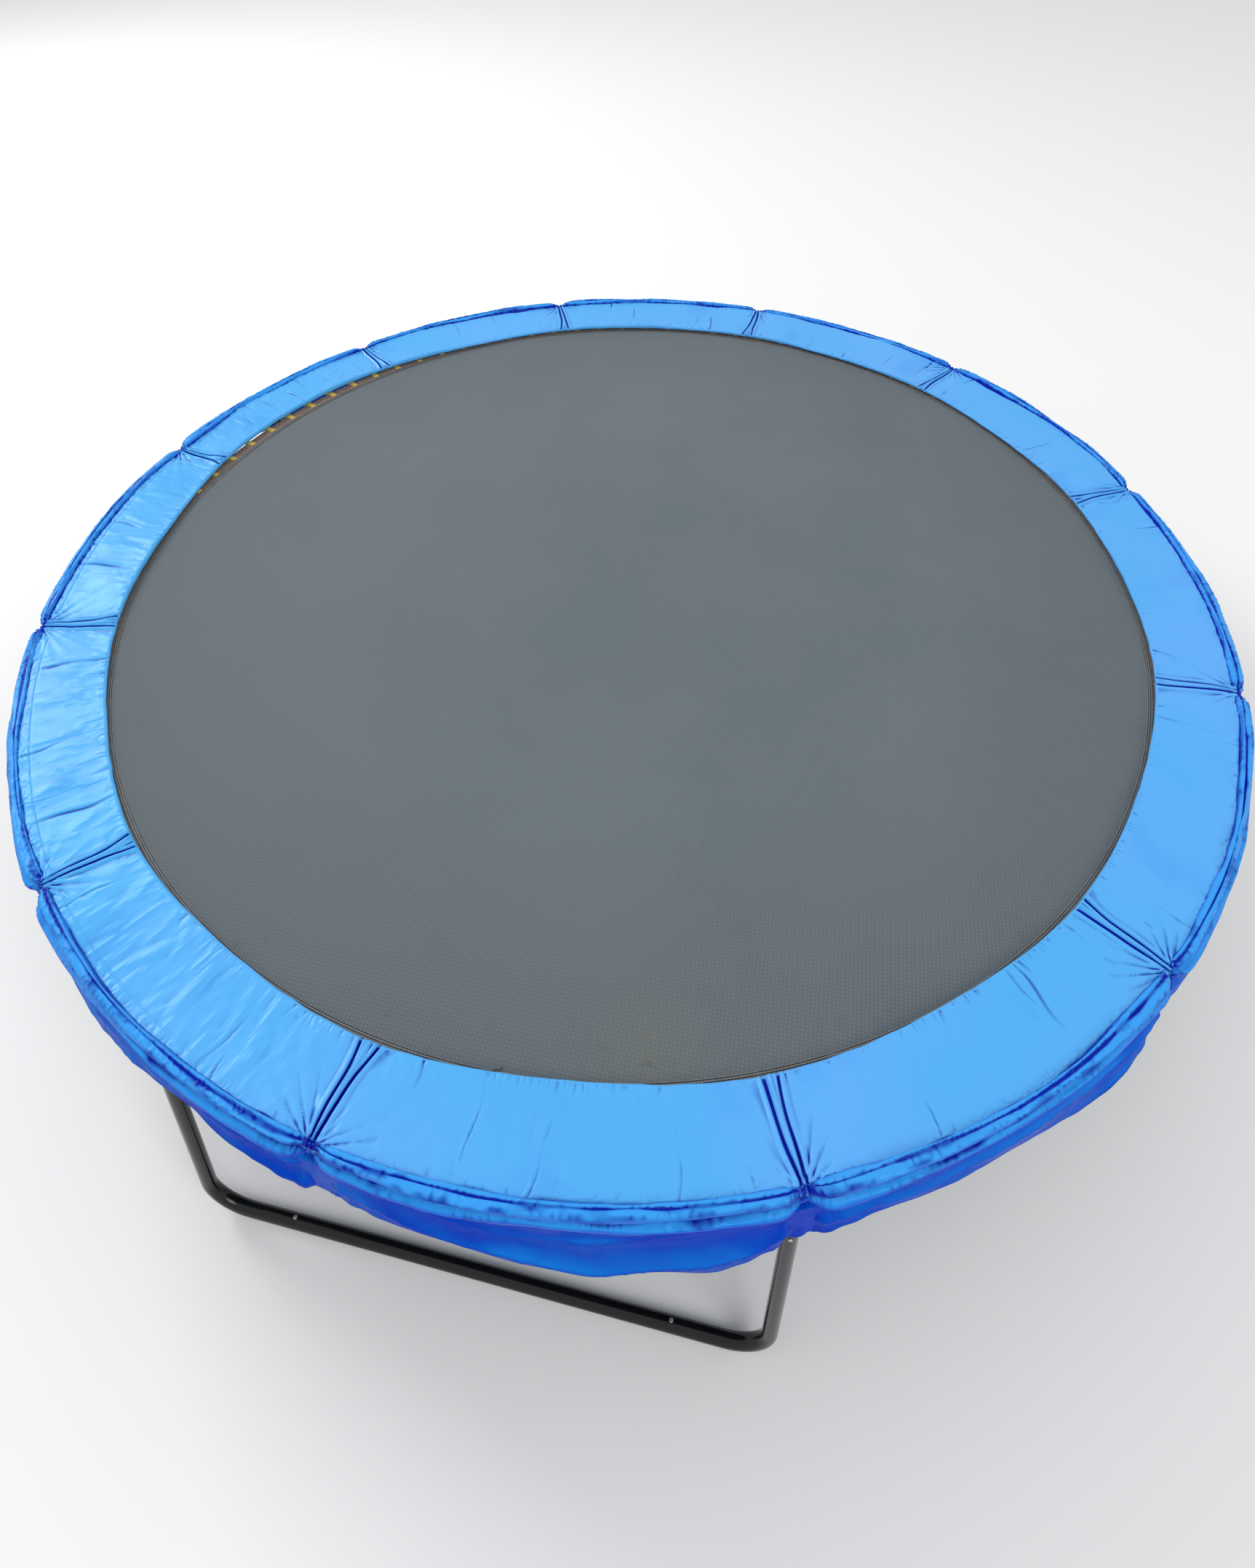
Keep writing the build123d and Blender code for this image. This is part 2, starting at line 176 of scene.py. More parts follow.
def curve_through(knots, count):
    """Evenly spread points on a smooth curve through (x, y) knots, which may be grids of them."""
    knots = np.asarray(knots, float)
    last = len(knots) - 1
    where = np.linspace(0, last, count)
    i = np.clip(np.floor(where).astype(int), 0, last - 1)
    f = (where - i).reshape((-1,) + (1,) * (knots.ndim - 1))
    p0, p1 = knots[np.maximum(i - 1, 0)], knots[i]
    p2, p3 = knots[i + 1], knots[np.minimum(i + 2, last)]
    bend = 2 * p1 + (p2 - p0) * f + (2 * p0 - 5 * p1 + 4 * p2 - p3) * f**2
    return 0.5 * (bend + (3 * p1 - p0 - 3 * p2 + p3) * f**3)


def tube(path, radius, sides):
    """Rings of points along a path, and the faces of a closed tube on them."""
    path = np.asarray(path, float)
    radius = np.broadcast_to(np.asarray(radius, float), len(path))
    ahead = np.gradient(path, axis=0)
    ahead /= np.linalg.norm(ahead, axis=1)[:, None]
    side = np.array([0.0, 1.0, 0.0]) if abs(ahead[0][1]) < 0.9 else np.array([1.0, 0.0, 0.0])
    rings = []
    for point, way, r in zip(path, ahead, radius):
        side = side - way * side.dot(way)
        side /= np.linalg.norm(side)
        other = np.cross(way, side)
        turn = np.linspace(0, tau, sides, endpoint=False)
        rings.append(point + r * (np.outer(np.cos(turn), side) + np.outer(np.sin(turn), other)))
    faces = grid_faces(len(path), sides, True)
    faces = [f[::-1] for f in faces]
    faces.append(list(range(sides)))
    faces.append(list(range((len(path) - 1) * sides, len(path) * sides))[::-1])
    return np.concatenate(rings), faces


def merge(parts):
    """One list of points and faces from several."""
    points, faces, start = [], [], 0
    for part_points, part_faces in parts:
        part_points = np.asarray(part_points).reshape(-1, 3)
        points.append(part_points)
        faces += [[i + start for i in face] for face in part_faces]
        start += len(part_points)
    return np.concatenate(points), faces


def turned(points, angle):
    """Points turned about the ring's axis by an angle in degrees."""
    c, s = cos(radians(angle)), sin(radians(angle))
    return np.asarray(points) @ np.array([[c, s, 0], [-s, c, 0], [0, 0, 1]])


# ---------------------------------------------------------------- materials

RIB_SCALE = 110.0  # of the ribs in the hem and in all webbing
MAT_WEAVE_SCALE = 30.0
SCRIM_SCALE = 420.0  # of the threads that show through the vinyl


class Nodes:
    """Builds one material's nodes."""

    def __init__(self, name):
        self.material = bpy.data.materials.new(name)
        self.material.use_nodes = True
        self.tree = self.material.node_tree
        self.shader = self.tree.nodes["Principled BSDF"]

    def add(self, kind, settings=None, **inputs):
        node = self.tree.nodes.new(kind)
        for key, value in (settings or {}).items():
            setattr(node, key, value)
        for key, value in inputs.items():
            self.put(node.inputs[key.replace("_", " ")], value)
        return node

    def put(self, socket, value):
        if isinstance(value, bpy.types.NodeSocket):
            self.tree.links.new(value, socket)
        else:
            socket.default_value = value

    def set(self, **inputs):
        for key, value in inputs.items():
            self.put(self.shader.inputs[key.replace("_", " ")], value)

    def place(self, scale=(1, 1, 1)):
        """The point on the object, in metres, times a scale."""
        at = self.add("ShaderNodeTexCoord").outputs["Object"]
        node = self.add("ShaderNodeMapping", Scale=scale)
        self.tree.links.new(at, node.inputs["Vector"])
        return node.outputs["Vector"]

    def noise(self, scale, detail=3.0, rough=0.55, vector=None):
        vector = self.place() if vector is None else vector
        node = self.add("ShaderNodeTexNoise", Scale=scale, Detail=detail, Roughness=rough, Vector=vector)
        return node.outputs["Fac"]

    def math(self, operation, a, b=0.0):
        node = self.add("ShaderNodeMath", {"operation": operation})
        self.put(node.inputs[0], a)
        self.put(node.inputs[1], b)
        return node.outputs[0]

    def span(self, value, low, high, to_low=0.0, to_high=1.0):
        node = self.add("ShaderNodeMapRange")
        for socket, number in zip(node.inputs, (value, low, high, to_low, to_high)):
            self.put(socket, number)
        return node.outputs["Result"]

    def mix(self, factor, a, b):
        node = self.add("ShaderNodeMix", {"data_type": "RGBA"})
        self.put(node.inputs["Factor"], factor)
        self.put(node.inputs[6], a)
        self.put(node.inputs[7], b)
        return node.outputs[2]

    def bump(self, height, distance, strength=1.0, normal=None):
        node = self.add("ShaderNodeBump", Distance=distance, Strength=strength, Height=height)
        if normal is not None:
            self.tree.links.new(normal, node.inputs["Normal"])
        return node.outputs["Normal"]

    def kept(self, name):
        """A number stored on the piece's points."""
        node = self.add("ShaderNodeAttribute", {"attribute_name": name})
        return node.outputs["Fac"]

    def radius(self):
        """Distance from the ring's axis, in metres."""
        split = self.add("ShaderNodeSeparateXYZ", Vector=self.place())
        x, y = split.outputs["X"], split.outputs["Y"]
        return self.math("SQRT", self.math("ADD", self.math("MULTIPLY", x, x), self.math("MULTIPLY", y, y)))


# the vinyl's colours, linear; some of them are painted light and shade, as marked where they are used
TOP_BLUE, TOP_BLUE_WORN = (0.108, 0.395, 0.87, 1), (0.075, 0.40, 0.83, 1)
CLOUD_BLUE, PAINTED_LIGHT_LEFT_BLUE = (0.042, 0.28, 0.80, 1), (0.06, 0.47, 0.90, 1)
ROLL_PAINTED_SHADE_BLUE, ROLL_PAINTED_LIGHT_BLUE = (0.0, 0.09, 0.62, 1), (0.03, 0.31, 0.84, 1)
SKIRT_PAINTED_SHADE_BLUE, SKIRT_PAINTED_LIGHT_BLUE = (0.0, 0.065, 0.50, 1), (0.012, 0.26, 0.80, 1)
SKIRT_PATCH_BLUE = (0.0, 0.032, 0.46, 1)
FOLD_PAINTED_SHADE_BLUE = (0.0, 0.006, 0.34, 1)
VINYL_SHEEN = (0.35, 0.75, 1.0, 1)  # tint of its reflections


def vinyl_material(name, coat, index):
    """Glossy blue sheet: light on top; painted light where it faces up and painted shade where it faces
    aside; deep blue down the skirt, partly its own tone and partly painted shade; painted shade in the
    folds.
    """
    m = Nodes(name)
    patches = m.span(m.noise(1.3, 3.0), 0.35, 0.65)
    face = m.mix(patches, TOP_BLUE, TOP_BLUE_WORN)
    cloudy = m.span(m.noise(3.1, 4.0, 0.6), 0.56, 0.72, 0.0, 0.4)
    face = m.mix(cloudy, face, CLOUD_BLUE)
    across = m.add("ShaderNodeSeparateXYZ", Vector=m.place()).outputs["X"]
    # painted light: the cover is made lighter towards -X, the side the key light comes from
    face = m.mix(m.span(across, -1.7, 0.3, 0.15, 0.0), face, PAINTED_LIGHT_LEFT_BLUE)
    fall = m.kept("fall")
    normal = m.add("ShaderNodeNewGeometry").outputs["Normal"]
    up = m.add("ShaderNodeSeparateXYZ", Vector=normal).outputs["Z"]
    # painted light and shade: the rolled edge is lighter where it faces up and deeper blue where it faces
    # aside
    rolled = m.mix(m.span(up, 0.25, 0.85), ROLL_PAINTED_SHADE_BLUE, ROLL_PAINTED_LIGHT_BLUE)
    colour = m.mix(m.span(fall, 0.02, 0.12), face, rolled)
    # painted light and shade: the hanging skirt is lighter where it faces up and deep blue where it faces
    # aside
    deep = m.mix(m.span(up, 0.1, 0.7), SKIRT_PAINTED_SHADE_BLUE, SKIRT_PAINTED_LIGHT_BLUE)
    deep = m.mix(m.span(m.noise(2.1, 3.0), 0.46, 0.58, 0.0, 0.85), deep, SKIRT_PATCH_BLUE)
    # deep blue down the skirt by how far it hangs: partly the cloth's own deeper tone, partly painted shade
    colour = m.mix(m.span(fall, 0.3, 0.7), colour, deep)
    # painted shade: deep blue in the folds, the seams' valleys and the crease beside the rolled edge
    colour = m.mix(m.span(m.kept("painted_fold_shade"), 0.08, 0.65, 0.0, 1.0), colour, FOLD_PAINTED_SHADE_BLUE)
    m.set(Base_Color=colour)
    m.set(Roughness=m.span(m.noise(24.0, 4.0), 0.3, 0.7, 0.22, 0.38))
    m.set(Specular_IOR_Level=m.span(fall, 0.3, 0.6, 0.5, 0.03))
    m.set(IOR=index, Coat_Weight=coat, Coat_Roughness=0.12, Specular_Tint=VINYL_SHEEN)
    threads = {"Scale": SCRIM_SCALE, "Vector": m.place(), "Randomness": 0.15}
    scrim = m.add("ShaderNodeTexVoronoi", {"feature": "F1"}, **threads)
    crinkle = m.noise(30.0, 5.0, 0.5)
    normal = m.bump(crinkle, 0.0018, 0.22)
    normal = m.bump(scrim.outputs["Distance"], 0.0003, 0.12, normal)
    m.set(Normal=normal)
    return m.material


def mat_material():
    """Grey woven polypropylene with fine ribs, a painted highlight on the weave, a little dust and one faded
    stain.
    """
    m = Nodes("mat weave")
    place = m.place()
    dust = m.span(m.noise(1.6, 5.0, 0.6), 0.3, 0.75)
    colour = m.mix(dust, (0.088, 0.116, 0.138, 1), (0.116, 0.146, 0.157, 1))
    edge = m.span(m.radius(), 1.2, HEM_IN, 0.0, 0.35)
    colour = m.mix(edge, colour, (0.070, 0.076, 0.086, 1))
    at = m.add("ShaderNodeVectorMath", {"operation": "DISTANCE"}, Vector=place)
    at.inputs[1].default_value = STAIN
    stain = m.span(at.outputs["Value"], 0.02, 0.2, 1.0, 0.0)
    stain = m.math("MULTIPLY", stain, m.span(m.noise(26.0, 5.0, 0.7), 0.4, 0.7, 0.1, 0.45))
    colour = m.mix(stain, colour, (0.15, 0.14, 0.07, 1))
    weave_of = {"Scale": MAT_WEAVE_SCALE, "Distortion": 0.3, "Vector": place}
    ribs = m.add("ShaderNodeTexWave", {"bands_direction": "X"}, **weave_of)
    cross = m.add("ShaderNodeTexWave", {"bands_direction": "Y"}, **weave_of)
    weave = m.math("MULTIPLY", ribs.outputs["Fac"], cross.outputs["Fac"])
    # painted highlight: the weave's raised threads are made lighter
    colour = m.mix(m.math("MULTIPLY", weave, 0.4), colour, (0.165, 0.20, 0.215, 1))
    worn = m.span(m.radius(), HEM_IN - 0.16, HEM_IN - 0.02)
    worn = m.math("MULTIPLY", worn, m.span(m.noise(14.0, 6.0, 0.7), 0.60, 0.70, 0.0, 0.3))
    colour = m.mix(worn, colour, (0.045, 0.045, 0.048, 1))
    m.set(Base_Color=colour, Roughness=m.span(dust, 0.0, 1.0, 0.72, 0.88), Sheen_Weight=0.1)
    m.set(Normal=m.bump(weave, 0.0008, 0.5))
    return m.material


def hem_material():
    """The mat's own grey cloth, doubled, with a brown binding along its outer part."""
    m = Nodes("mat hem")
    fuzz = m.noise(60.0, 5.0, 0.7)
    wander = m.span(m.noise(2.0, 3.0), 0.3, 0.7, -0.003, 0.003)
    radius = m.math("ADD", m.radius(), wander)
    grey = m.mix(m.span(fuzz, 0.3, 0.7), (0.14, 0.152, 0.16, 1), (0.20, 0.212, 0.22, 1))
    brown = m.mix(m.span(fuzz, 0.3, 0.7), (0.11, 0.075, 0.055, 1), (0.24, 0.17, 0.13, 1))
    colour = m.mix(m.span(radius, HEM_IN + 0.0175, HEM_IN + 0.020), grey, brown)
    dirt = m.span(m.noise(9.0, 6.0, 0.7), 0.58, 0.72, 0.0, 0.5)
    colour = m.mix(dirt, colour, (0.05, 0.045, 0.042, 1))
    rings = {"wave_type": "RINGS", "rings_direction": "Z"}
    wave = m.add("ShaderNodeTexWave", rings, Scale=RIB_SCALE, Vector=m.place())
    m.set(Base_Color=colour, Roughness=0.8, Sheen_Weight=0.15)
    m.set(Normal=m.bump(wave.outputs["Fac"], 0.0006, 0.5))
    return m.material


def webbing_material(name, dark, light):
    """Woven strap or hem, with ribs across it."""
    m = Nodes(name)
    rings = {"wave_type": "RINGS", "rings_direction": "Z"}
    wave = m.add("ShaderNodeTexWave", rings, Scale=RIB_SCALE, Vector=m.place())
    fuzz = m.noise(60.0, 5.0, 0.7)
    colour = m.mix(m.span(fuzz, 0.3, 0.7), dark, light)
    colour = m.mix(m.math("MULTIPLY", wave.outputs["Fac"], 0.3), colour, dark)
    m.set(Base_Color=colour, Roughness=0.85, Sheen_Weight=0.2)
    m.set(Normal=m.bump(wave.outputs["Fac"], 0.0006, 0.6))
    return m.material


def coated_steel_material():
    """Black baked coating over steel tube, glossy, with fine dust and scuffs."""
    m = Nodes("black coated steel")
    scuffs = m.span(m.noise(55.0, 8.0, 0.75, m.place((1, 1, 0.35))), 0.62, 0.75)
    dust = m.span(m.noise(5.0, 4.0), 0.5, 0.8, 0.0, 0.2)
    colour = m.mix(dust, (0.0012, 0.0012, 0.0016, 1), (0.008, 0.007, 0.006, 1))
    colour = m.mix(m.math("MULTIPLY", scuffs, 0.4), colour, (0.09, 0.085, 0.08, 1))
    m.set(Base_Color=colour, Roughness=m.span(scuffs, 0.0, 1.0, 0.16, 0.45))
    m.set(IOR=1.38, Coat_Weight=0.25, Coat_Roughness=0.08)
    m.set(Normal=m.bump(m.noise(180.0, 4.0, 0.6), 0.0006, 0.25))
    return m.material


def bright_steel_material(name, tint, rough):
    """Zinc-plated wire or screws with soft spangle and dull spots."""
    m = Nodes(name)
    spangle = m.span(m.noise(160.0, 4.0, 0.6), 0.3, 0.7)
    dull = tuple(0.6 * c for c in tint[:3]) + (1,)
    m.set(Base_Color=m.mix(spangle, tint, dull), Metallic=1.0)
    m.set(Roughness=m.span(spangle, 0.0, 1.0, rough, rough + 0.2))
    m.set(Normal=m.bump(m.noise(300.0, 3.0), 0.0003, 0.3))
    return m.material


def thread_material():
    """Dark sewing thread."""
    m = Nodes("stitching thread")
    m.set(Base_Color=m.mix(m.noise(200.0), (0.012, 0.011, 0.011, 1), (0.04, 0.036, 0.034, 1)))
    m.set(Roughness=0.8, Normal=m.bump(m.noise(900.0), 0.0004, 0.5))
    return m.material


# ---------------------------------------------------------------- places that the looks need

# where a faded stain lies on the mat, near the front edge
STAIN = (0.43, -1.76, MAT_Z)
# a loose end of stitching thread on the hem, and its bends
TAIL_AT = (0.06, -1.874, HEM_HIGH)
TAIL = ((0.0, 0.0, 0.0004), (0.006, 0.004, 0.001), (0.013, 0.009, 0.002), (0.022, 0.010, 0.0016),
        (0.027, 0.019, 0.001))
# the pad has slipped outwards here, so the mat's webbing loops show past it
SLIP_ANGLE, SLIP_WIDTH, SLIP = 158.0, 18.0, 0.050
PAD_LIP = 0.013  # how far the cover's soft inner edge reaches past the foam
# how far the skirt hangs below the pad near the start, middle and end of each of its panels
SKIRT_DROPS = ((0.19, 0.25, 0.21), (0.20, 0.26, 0.23), (0.21, 0.24, 0.19), (0.18, 0.25, 0.22),
               (0.21, 0.23, 0.20), (0.22, 0.27, 0.20), (0.20, 0.25, 0.25), (0.23, 0.20, 0.17),
               (0.20, 0.295, 0.325), (0.175, 0.225, 0.315), (0.22, 0.26, 0.21), (0.20, 0.25, 0.22))
SEAM_DROP = 0.222
STITCH_INSET = 0.043  # of the row of stitches from the pad's outer edge
HEM_FRACTIONS = (0.0, 0.17, 0.5, 0.8)
MAT_SAG = 0.024  # the mat's middle below its edge


def seam_distance(angle, radius):
    """Signed distance in metres along the ring to the nearest seam."""
    from_seam = (angle - SEAM + PANEL / 2) % PANEL - PANEL / 2
    return np.radians(from_seam) * radius


def seam_number(angle):
    """The number of the seam nearest to an angle."""
    return np.round((angle - SEAM) / PANEL).astype(int) % PANELS


def pad_inner(angle):
    """Inner radius of the pad, scalloped between its seams and slipped out in one place."""
    away = (angle - SLIP_ANGLE + 180) % 360 - 180
    bow = np.cos(np.radians((angle - SEAM) * PANELS))
    turns = angle / 360
    wander = 0.004 * ripple(turns, 0.3 + 0 * turns, 26, 5) + 0.0015 * ripple(turns, 0.7 + 0 * turns, 210, 6)
    return PAD_IN - PAD_LIP + SLIP * np.exp(-((away / SLIP_WIDTH) ** 2)) + 0.005 * bow + wander


COVER_COLUMNS, COVER_ROWS = 1152, 22  # of the cloth that is settled over the foam
COVER_FRAMES = 20
COVER_EXCESS = 0.009  # how much larger the cover is than the foam's top, as a share of each side
COVER_CROWN = 0.25  # how much of the cloth's even crown is kept; the foam under it is flat


def settled_cover():
    """Heights of the cover's top: a cloth a little too large, sewn down at its edges and pressed up."""
    angle = SEAM + np.linspace(0, 360, COVER_COLUMNS, endpoint=False)[:, None]
    s = np.linspace(0, 1, COVER_ROWS)[None, :]
    start = 0.0006 * ripple(angle / 360, s * 5, 400, 3)
    points = around(PAD_IN + (PAD_OUT - PAD_IN) * s, angle, PAD_TOP_IN + start)
    faces = [face[::-1] for face in grid_faces(COVER_COLUMNS, COVER_ROWS)]
    last = (COVER_COLUMNS - 1) * COVER_ROWS
    faces += [[last + r + 1, last + r, r, r + 1][::-1] for r in range(COVER_ROWS - 1)]
    mesh = bpy.data.meshes.new("cover cloth")
    mesh.from_pydata(points.reshape(-1, 3).tolist(), [], faces)
    mesh.update()
    cloth = bpy.data.objects.new("cover cloth", mesh)
    bpy.context.scene.collection.objects.link(cloth)
    sewn = cloth.vertex_groups.new(name="sewn")
    edges = [c * COVER_ROWS + r for c in range(COVER_COLUMNS) for r in (0, COVER_ROWS - 1)]
    seam_columns = range(0, COVER_COLUMNS, COVER_COLUMNS // PANELS)
    seams = [c * COVER_ROWS + r for c in seam_columns for r in range(COVER_ROWS)]
    sewn.add(sorted(set(edges + seams)), 1.0, "REPLACE")
    settle = cloth.modifiers.new("settle", "CLOTH")
    stuff = settle.settings
    stuff.quality = 5
    stuff.mass = 0.2
    stuff.tension_stiffness = stuff.compression_stiffness = 40
    stuff.shear_stiffness = 20
    stuff.bending_stiffness = 0.5
    stuff.shrink_min = -COVER_EXCESS
    stuff.vertex_group_mass = "sewn"
    stuff.effector_weights.gravity = 0
    stuff.use_pressure = True
    stuff.uniform_pressure_force = 1.0
    settle.collision_settings.use_collision = False
    settle.point_cache.frame_start, settle.point_cache.frame_end = 1, COVER_FRAMES
    for step in range(1, COVER_FRAMES + 1):
        bpy.context.scene.frame_set(step)
    settled = cloth.evaluated_get(bpy.context.evaluated_depsgraph_get()).to_mesh()
    flat = np.zeros(len(settled.vertices) * 3)
    settled.vertices.foreach_get("co", flat)
    height = flat.reshape(COVER_COLUMNS, COVER_ROWS, 3)[:, :, 2] - PAD_TOP_IN
    bpy.context.scene.frame_set(1)
    bpy.data.objects.remove(cloth)
    crown = height.reshape(PANELS, -1, COVER_ROWS).mean(0)
    return height - (1 - COVER_CROWN) * np.tile(crown, (PANELS, 1))


COVER = settled_cover()


def cover_height(angle, s):
    """The settled cover's height at an angle and a share of the way across, between its points."""
    column = ((angle - SEAM) / 360 % 1) * COVER_COLUMNS
    row = np.clip(s, 0, 1) * (COVER_ROWS - 1)
    column, row = np.broadcast_arrays(column, row)
    c = np.floor(column).astype(int) % COVER_COLUMNS
    r = np.minimum(np.floor(row).astype(int), COVER_ROWS - 2)
    fc, fr = smooth(column % 1), smooth(row - r)
    after = (c + 1) % COVER_COLUMNS
    near = COVER[c, r] * (1 - fr) + COVER[c, r + 1] * fr
    far = COVER[after, r] * (1 - fr) + COVER[after, r + 1] * fr
    return near * (1 - fc) + far * fc


# thin folds on each panel: how many, their shortest and longest, and their tallest
CREASES = ((2, 0.7, 1.0, 0.0030), (3, 0.3, 0.7, 0.0024), (3, 0.08, 0.22, 0.0020))


def creases(angle, s, radius):
    """Thin folds in the pad's cover, from one edge part of the way to the other."""
    height = np.zeros(np.broadcast(angle, s).shape)
    rng = np.random.default_rng(41)
    for panel in range(PANELS):
        for many, shortest, longest, tallest in CREASES:
            for _ in range(many):
                centre = SEAM + PANEL * (panel + rng.uniform(0.05, 0.95))
                slant = rng.uniform(-1.3, 1.3)
                bend = rng.uniform(-1.2, 1.2)
                from_outside = rng.random() < 0.45
                length = rng.uniform(shortest, longest)
                tall = tallest * rng.uniform(0.3, 1.0)
                width = rng.uniform(0.0022, 0.0065)
                phase = rng.uniform(0, tau)
                along = 1 - s if from_outside else s
                path = centre + slant * (s - 0.5) + bend * (s - 0.5) ** 2 + 0.12 * np.sin(9 * s + phase)
                x = np.radians((angle - path + 180) % 360 - 180) * radius
                shape = np.exp(-((x / width) ** 2)) - 1.1 * np.exp(-(((x - 1.6 * width) / width) ** 2))
                uneven = 0.65 + 0.35 * np.sin(7 * s + 2 * phase)
                fade = smooth((length - along) / min(0.25, length)) * uneven
                height += tall * shape * fade
    return height


VALLEY = 0.0036  # half the width of a seam's valleys
STRIP_CREST = 0.0075  # height of the strip between the valleys
SEAM_SHOULDER = 0.004  # height of the soft rise outside each valley
END_FOLD = 0.003  # height of the folds in the strip's splayed end


def seam_folds(d, s, number):
    """A pinched seam: a narrow strip between two sharp valleys, gathered at its outer end."""
    rng = np.random.default_rng(83)
    half = rng.uniform(0.008, 0.015, PANELS)[number]
    splay = rng.uniform(0.004, 0.018, PANELS)[number]
    lean = rng.uniform(-0.008, 0.008, PANELS)[number]
    deep_left, deep_right = rng.uniform(0.006, 0.012, (2, PANELS))[:, number]
    x = d - lean * (1 - s) - 0.003 * np.sin(5 * s + number)
    half = half * (1 - 0.5 * smooth((s - 0.5) / 0.5)) + splay * np.clip(1 - s / 0.5, 0, 1) ** 2
    height = -deep_left * np.exp(-(((x + half) / VALLEY) ** 2))
    height = height - deep_right * np.exp(-(((x - half) / VALLEY) ** 2))
    height += STRIP_CREST * np.exp(-((x / (0.8 * half)) ** 2))
    height += SEAM_SHOULDER * np.exp(-(((np.abs(x) - half - 0.009) / 0.007) ** 2))
    # small folds inside the splayed end
    end_fold = END_FOLD * np.sin(x / 0.0026 + number)
    height += end_fold * np.exp(-((x / half) ** 2)) * np.clip(1 - s / 0.45, 0, 1)
    return height


BROAD_WAVE, SMALL_WAVE = 0.0048, 0.0012  # heights of the cover's slow waves
PUCKER, PUCKER_REACH = 0.0030, 0.06  # of the puckers along the inner edge; the reach in pad widths
FAN, FAN_REACH, FAN_START = 0.0055, 0.07, 0.012  # of the wrinkles that run out from each tie
DRAWN_DOWN = 0.011  # of the cover along its outer edge
SMALL_PUCKER = 0.0016
STITCH_GROOVE, STITCH_HALF = 0.0016, 0.0022  # depth and half width of the groove at the stitches


def pad_surface(angle, s, radius):
    """Height of the pad's top above its plain slope, in metres."""
    d = seam_distance(angle, radius)
    number = seam_number(angle)
    turns = angle / 360
    height = seam_folds(d, s, number) - 0.004 * np.exp(-((d / 0.06) ** 2))
    height += BROAD_WAVE * ripple(turns, s * 1.3, 40, 11) + SMALL_WAVE * ripple(turns, s * 3.0, 150, 12)
    # the cover is drawn tighter round the front and the right than on the left
    slack = 0.18 + 0.2 * smooth((angle % 360 - 120) / 30) * smooth((285 - angle % 360) / 40)
    slack = slack + 0.08 * ripple(turns, 0 * s + 0.2, 17, 22)
    height += creases(angle, s, radius) + slack * cover_height(angle, s)
    # the row of stitches along the outer edge, rolled out of sight round the front
    row = np.exp(-((((1 - s) * (PAD_OUT - PAD_IN) - STITCH_INSET) / STITCH_HALF) ** 2))
    height -= STITCH_GROOVE * row * smooth((angle % 360 - 110) / 25) * smooth((262 - angle % 360) / 20)
    # puckers where the cover is sewn along the inner edge
    pucker = ridge(3.0 * ripple(turns, s * 2, 230, 13)) - 0.4
    uneven = 0.4 + 0.6 * smooth(ripple(turns, 0 * s, 60, 14) * 3)
    height -= PUCKER * pucker * np.exp(-s / PUCKER_REACH) * uneven
    # wrinkles that run out from each tie at the outer edge
    y = (1 - s) * (PAD_OUT - PAD_IN)
    reach = np.hypot(d, y) + 1e-6
    bearing = np.arctan2(y, d)
    fan = 0.6 - ridge(bearing * 3.2 + number * 0.7) + 0.4 * np.sin(bearing * 23 + number)
    height += FAN * fan * np.exp(-reach / FAN_REACH) * (1 - np.exp(-reach / FAN_START))
    # along the outer edge the cover is drawn down into the crease beside its roll
    drawn = 0.03 + 0.022 * ripple(turns, 0 * s, 48, 15) + 0.012 * ripple(turns, 0 * s + 0.5, 170, 16)
    height -= DRAWN_DOWN * smooth((s - (1 - drawn * 2.3)) / 0.08)
    small = ridge(2.2 * ripple(turns, s * 9, 260, 17)) - 0.3
    height -= SMALL_PUCKER * small * smooth((s - 0.8) / 0.15)
    return height


def edge_shade(angle, s):
    """How much painted shade darkens the crease beside the rolled edge, from 0 to 1."""
    turns = angle / 360
    width = 0.06 + 0.035 * ripple(turns, 0 * s, 44, 18) + 0.02 * ripple(turns, 0 * s + 0.5, 210, 19)
    return smooth((s - (1 - width)) / 0.03) * (0.75 + 0.25 * ripple(turns, 6 * s, 90, 20))


def panel_angles(panel):
    """Angles of a panel's columns, closer together beside its seams."""
    near = np.linspace(0, 1.3, 34, endpoint=False)
    middle = np.linspace(1.3, PANEL - 1.3, 290, endpoint=False)
    far = np.linspace(PANEL - 1.3, PANEL, 35)
    return SEAM + PANEL * panel + np.concatenate([near, middle, far])


